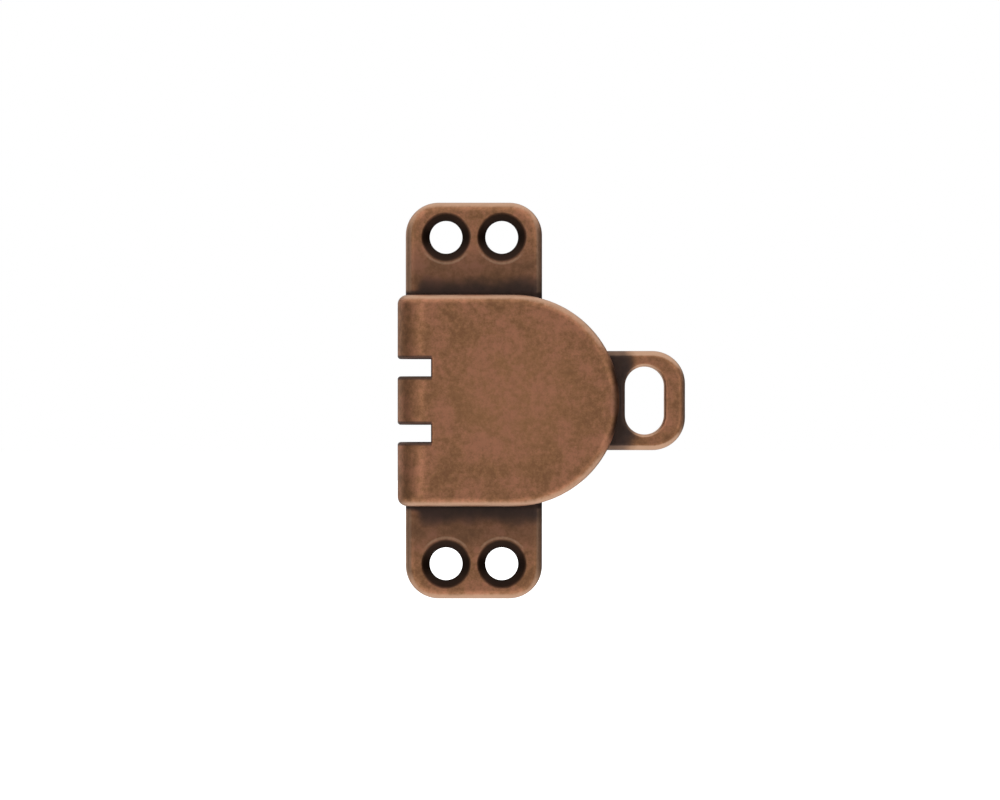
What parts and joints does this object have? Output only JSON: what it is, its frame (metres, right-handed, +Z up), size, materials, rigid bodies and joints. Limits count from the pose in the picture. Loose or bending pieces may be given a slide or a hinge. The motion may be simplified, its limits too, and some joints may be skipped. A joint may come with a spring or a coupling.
{
  "type": "toggle bolt latch",
  "caption": "Small copper-finish latch: a screw-on strap folded over into a D-shaped cover, with a slotted forked bolt that slides under it.",
  "frame": {"origin": "on the mounting face, in the middle of the four screw holes", "axes": "+X the way the slotted tab points when drawn out, +Z up along the strap, -Y out of the front"},
  "size_m": [0.0367, 0.008, 0.0508],
  "materials": {
    "copper_body": "plated steel, antique copper, satin with worn bright edges",
    "copper_bolt": "plated steel, antique copper, satin with worn bright edges",
    "copper_bridge": "plated steel, antique copper, dark inside the cover",
    "rivet_steel": "plated steel, antique copper",
    "spring_steel": "bare hardened strip"
  },
  "bodies": {
    "latch_body": {"body_plate": "copper_body", "guide_bridge": "copper_bridge", "stop_post": "rivet_steel", "friction_spring": "spring_steel", "bridge_rivet_lower_left": "rivet_steel", "bridge_rivet_lower_right": "rivet_steel", "bridge_rivet_upper_left": "rivet_steel", "bridge_rivet_upper_right": "rivet_steel"},
    "bolt": {"bolt_plate": "copper_bolt"}
  },
  "joints": [
    {"name": "bolt_slide", "type": "slide", "parent": "latch_body", "child": "bolt", "axis": [-1, 0, 0], "range_m": [0, 0.0065]}
  ]
}
